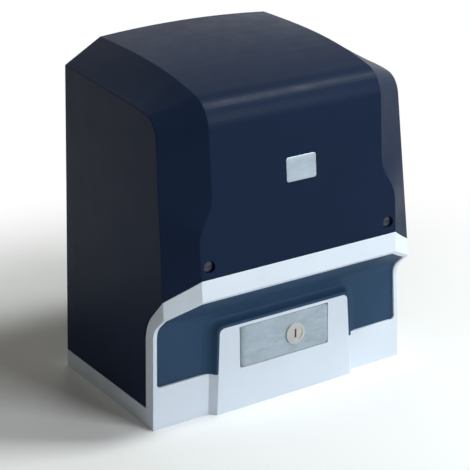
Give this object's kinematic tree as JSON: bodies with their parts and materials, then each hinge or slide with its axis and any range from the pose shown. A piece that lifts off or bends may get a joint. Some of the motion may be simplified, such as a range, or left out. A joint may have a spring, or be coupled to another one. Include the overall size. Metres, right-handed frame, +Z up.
{
  "type": "sliding gate motor",
  "caption": "Sliding gate motor: a plastic cover over a grey base with a keyed release lever, worm gearbox, upright motor, control board and a rack pinion at the back.",
  "frame": {"origin": "centre of the four anchor slots, on the ground under the base plate", "axes": "+X to the right when facing the front, +Y from the front to the drive pinion at the back, +Z up"},
  "size_m": [0.3, 0.268, 0.354],
  "materials": {
    "navy_cover": "satin navy blue, fine texture",
    "grey_shell": "satin light grey",
    "navy_panel": "satin navy blue",
    "lever_paint": "satin silver grey paint",
    "lock_metal": "nickel plated",
    "zinc_steel": "zinc plated",
    "black_screw": "black oxide",
    "plate_steel": "galvanised",
    "cast_aluminium": "as cast",
    "gear_steel": "machined, oiled",
    "bronze": "machined bronze",
    "black_rubber": "matt",
    "lamination": "stacked laminations",
    "copper": "enamelled copper wire",
    "fan_plastic": "black moulded",
    "board_green": "solder mask",
    "relay_plastic": "moulded",
    "terminal_green": "moulded",
    "component_black": "moulded",
    "fuse_glass": "clear",
    "can_aluminium": "drawn can",
    "button_white": "moulded"
  },
  "bodies": {
    "base_body": {"front_inset_panel": "navy_panel", "lower_shell": "grey_shell", "base_plate": "plate_steel", "levelling_screws": "zinc_steel", "cable_gland": "black_rubber", "base_screws": "zinc_steel", "gearbox_screws": "zinc_steel", "hinge_pin": "zinc_steel", "release_switch": "component_black", "gearbox_housing": "cast_aluminium", "gearbox_lid": "cast_aluminium", "casing_screws": "zinc_steel", "oil_plugs": "zinc_steel", "output_bearings": "gear_steel", "shaft_seal": "black_rubber", "worm_bearings": "gear_steel", "rear_shield": "plate_steel", "limit_switch": "component_black", "motor_flange": "cast_aluminium", "flange_screws": "zinc_steel", "motor_shell": "cast_aluminium", "stator_core": "lamination", "stator_windings": "copper", "motor_cap": "cast_aluminium", "equipment_frame": "plate_steel", "board_standoffs": "zinc_steel", "control_board": "board_green", "relays": "relay_plastic", "terminal_blocks": "terminal_green", "display": "component_black", "board_components": "component_black", "fuse_clips": "zinc_steel", "fuse": "fuse_glass", "button_bases": "component_black", "transformer_core": "lamination", "transformer_coil": "copper", "motor_capacitor": "can_aluminium"},
    "cover_body": {"cover": "navy_cover", "cover_screws": "black_screw"},
    "lever_body": {"release_lever": "lever_paint", "lock_ring": "lock_metal"},
    "lock_body": {"lock_cylinder": "lock_metal"},
    "rod_body": {"release_rod": "gear_steel", "shift_fork": "bronze"},
    "plunger_body": {"switch_plunger": "button_white"},
    "output_body": {"output_shaft": "gear_steel", "shaft_keys": "gear_steel", "worm_wheel": "bronze", "wheel_bush": "bronze", "drive_pinion": "gear_steel", "pinion_bolt": "zinc_steel", "clutch_spring": "gear_steel"},
    "sleeve_body": {"clutch_sleeve": "gear_steel"},
    "rotor_body": {"worm_shaft": "gear_steel", "rotor_core": "lamination", "motor_fan": "fan_plastic"},
    "feeler_body": {"limit_feeler": "zinc_steel"},
    "button_1_body": {"program_button_1": "button_white"},
    "button_2_body": {"program_button_2": "button_white"}
  },
  "joints": [
    {"name": "cover_lift", "type": "slide", "parent": "base_body", "child": "cover_body", "axis": [0, 0, 1], "range_m": [0, 0.3]},
    {"name": "release_lever_hinge", "type": "hinge", "parent": "base_body", "child": "lever_body", "pos_m": [-0.0458, -0.0899, 0.065], "axis": [0, 0, -1], "range_deg": [0, 90]},
    {"name": "lock_turn", "type": "hinge", "parent": "lever_body", "child": "lock_body", "pos_m": [0.0117, -0.0974, 0.0642], "axis": [0, 1, 0], "range_deg": [0, 90]},
    {"name": "release_rod_slide", "type": "slide", "parent": "base_body", "child": "rod_body", "axis": [0, 1, 0], "range_m": [0, 0.006]},
    {"name": "switch_plunger_slide", "type": "slide", "parent": "base_body", "child": "plunger_body", "axis": [0, 0, 1], "range_m": [0, 0.0015]},
    {"name": "motor_spin", "type": "hinge", "parent": "base_body", "child": "rotor_body", "pos_m": [0.0515, -0.035, 0.2], "axis": [0, 0, 1], "continuous": true},
    {"name": "output_spin", "type": "hinge", "parent": "base_body", "child": "output_body", "pos_m": [0, 0, 0.065], "axis": [0, 1, 0], "continuous": true},
    {"name": "clutch_slide", "type": "slide", "parent": "output_body", "child": "sleeve_body", "axis": [0, 1, 0], "range_m": [0, 0.006], "deforming": ["clutch_spring"]},
    {"name": "feeler_swing", "type": "hinge", "parent": "base_body", "child": "feeler_body", "pos_m": [0, 0.0849, 0.128], "axis": [0, 1, 0], "range_deg": [-35, 35], "stiffness_Nm_per_rad": 0.5},
    {"name": "button_1_press", "type": "slide", "parent": "base_body", "child": "button_1_body", "axis": [0, 1, 0], "range_m": [0, 0.0012], "stiffness_N_per_m": 300},
    {"name": "button_2_press", "type": "slide", "parent": "base_body", "child": "button_2_body", "axis": [0, 1, 0], "range_m": [0, 0.0012], "stiffness_N_per_m": 300}
  ],
  "couplings": [
    {"joint": "release_rod_slide", "follows": "release_lever_hinge", "m_per_rad": 0.00381},
    {"joint": "clutch_slide", "follows": "release_lever_hinge", "m_per_rad": 0.00381},
    {"joint": "switch_plunger_slide", "follows": "release_lever_hinge", "m_per_rad": 0.00095},
    {"joint": "output_spin", "follows": "motor_spin", "ratio": 0.033333}
  ]
}
